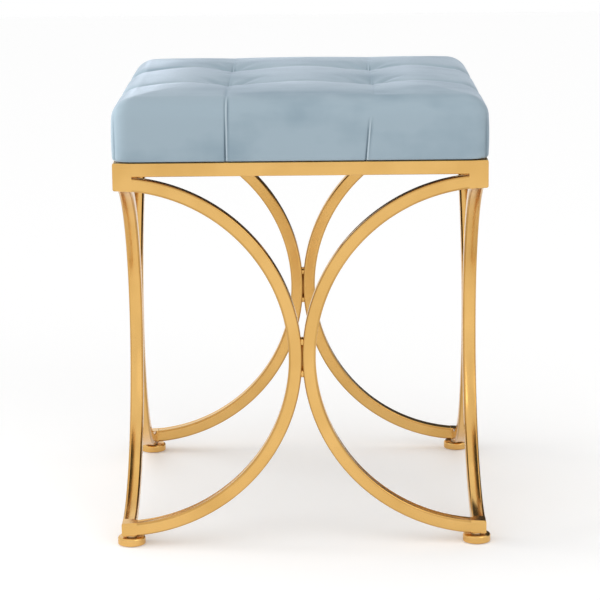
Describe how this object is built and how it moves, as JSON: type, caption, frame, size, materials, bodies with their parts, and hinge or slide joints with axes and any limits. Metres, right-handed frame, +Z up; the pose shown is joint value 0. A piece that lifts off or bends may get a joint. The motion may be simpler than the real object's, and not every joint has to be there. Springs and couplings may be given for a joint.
{
  "type": "ottoman",
  "caption": "Square ottoman with a tufted velvet seat on an open gold frame of half-circle legs bent from square tube, standing on round levelling feet.",
  "frame": {"origin": "on the floor, under the middle of the seat", "axes": "+Z up; the front faces -Y and +X is to the right of someone who looks at the front"},
  "size_m": [0.4104, 0.4104, 0.4981],
  "materials": {
    "gold_metal": "satin gold",
    "zinc_steel": "zinc plated",
    "floor_pad": "matt",
    "plywood": "unfinished",
    "foam": "open cell foam",
    "wadding": "polyester fibre",
    "velvet": "short pile velvet",
    "twine": "waxed twine",
    "washer_plastic": "moulded",
    "dust_cloth": "non-woven cloth"
  },
  "bodies": {
    "ottoman": {"front_rail": "gold_metal", "rear_rail": "gold_metal", "left_rail": "gold_metal", "right_rail": "gold_metal", "front_left_leg": "gold_metal", "front_right_leg": "gold_metal", "rear_left_leg": "gold_metal", "rear_right_leg": "gold_metal", "left_front_leg": "gold_metal", "left_rear_leg": "gold_metal", "right_front_leg": "gold_metal", "right_rear_leg": "gold_metal", "front_left_gusset": "gold_metal", "front_right_gusset": "gold_metal", "rear_left_gusset": "gold_metal", "rear_right_gusset": "gold_metal", "corner_welds": "gold_metal", "tack_welds": "gold_metal", "leg_end_plugs": "gold_metal", "foot_blocks": "gold_metal", "seat_bolts": "zinc_steel", "seat_washers": "zinc_steel", "tee_nuts": "zinc_steel", "dust_cover_staples": "zinc_steel", "seat_board": "plywood", "seat_foam": "foam", "seat_wadding": "wadding", "seat_cover": "velvet", "tuft_buttons": "velvet", "tuft_ties": "twine", "tie_washers": "washer_plastic", "dust_cover": "dust_cloth"},
    "front_left_foot": {"front_left_foot_disc": "gold_metal", "front_left_foot_stem": "zinc_steel", "front_left_foot_pad": "floor_pad"},
    "front_right_foot": {"front_right_foot_disc": "gold_metal", "front_right_foot_stem": "zinc_steel", "front_right_foot_pad": "floor_pad"},
    "rear_left_foot": {"rear_left_foot_disc": "gold_metal", "rear_left_foot_stem": "zinc_steel", "rear_left_foot_pad": "floor_pad"},
    "rear_right_foot": {"rear_right_foot_disc": "gold_metal", "rear_right_foot_stem": "zinc_steel", "rear_right_foot_pad": "floor_pad"}
  },
  "joints": [
    {"name": "front_left_foot_screw", "type": "slide", "parent": "ottoman", "child": "front_left_foot", "axis": [0, 0, -1], "range_m": [0, 0.007]},
    {"name": "front_right_foot_screw", "type": "slide", "parent": "ottoman", "child": "front_right_foot", "axis": [0, 0, -1], "range_m": [0, 0.007]},
    {"name": "rear_left_foot_screw", "type": "slide", "parent": "ottoman", "child": "rear_left_foot", "axis": [0, 0, -1], "range_m": [0, 0.007]},
    {"name": "rear_right_foot_screw", "type": "slide", "parent": "ottoman", "child": "rear_right_foot", "axis": [0, 0, -1], "range_m": [0, 0.007]}
  ]
}
